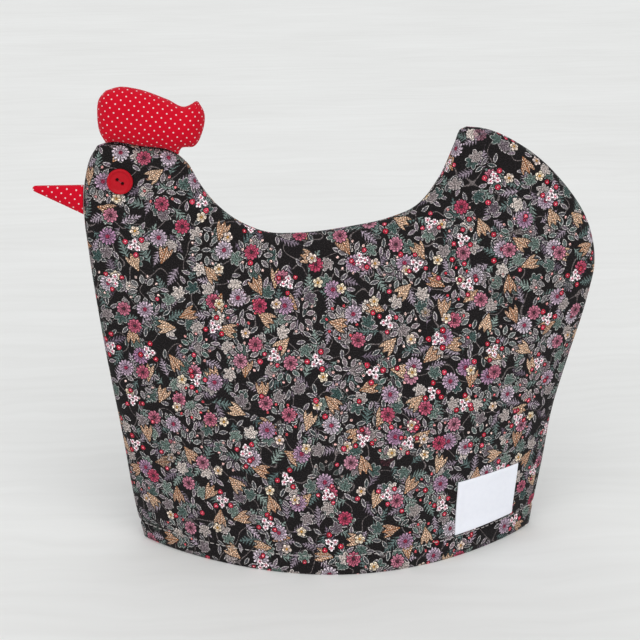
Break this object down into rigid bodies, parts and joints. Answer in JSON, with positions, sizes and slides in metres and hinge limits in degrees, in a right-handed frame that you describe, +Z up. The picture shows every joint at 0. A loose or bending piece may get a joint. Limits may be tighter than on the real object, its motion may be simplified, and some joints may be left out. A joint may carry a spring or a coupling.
{
  "type": "tea cosy",
  "caption": "Padded tea cosy in the shape of a hen: floral cotton panels, open at the hem, with a red stuffed comb and beak, button eyes and a bare white label",
  "frame": {"origin": "on the floor under the middle of the whole length, in the plane of the side seams", "axes": "+X from the beak to the tail, +Y away from the labelled panel, +Z up"},
  "size_m": [0.3618, 0.1382, 0.3073],
  "materials": {
    "printed_cotton": "matte printed cotton, padded",
    "dotted_cotton": "matte cotton with white pin dots, stuffed",
    "button_plastic": "satin",
    "label_cloth": "matte woven tape"
  },
  "bodies": {
    "root": {"front_panel": "printed_cotton", "back_panel": "printed_cotton", "comb": "dotted_cotton", "beak": "dotted_cotton", "eye_button_front": "button_plastic", "eye_button_back": "button_plastic", "label": "label_cloth"}
  },
  "joints": []
}
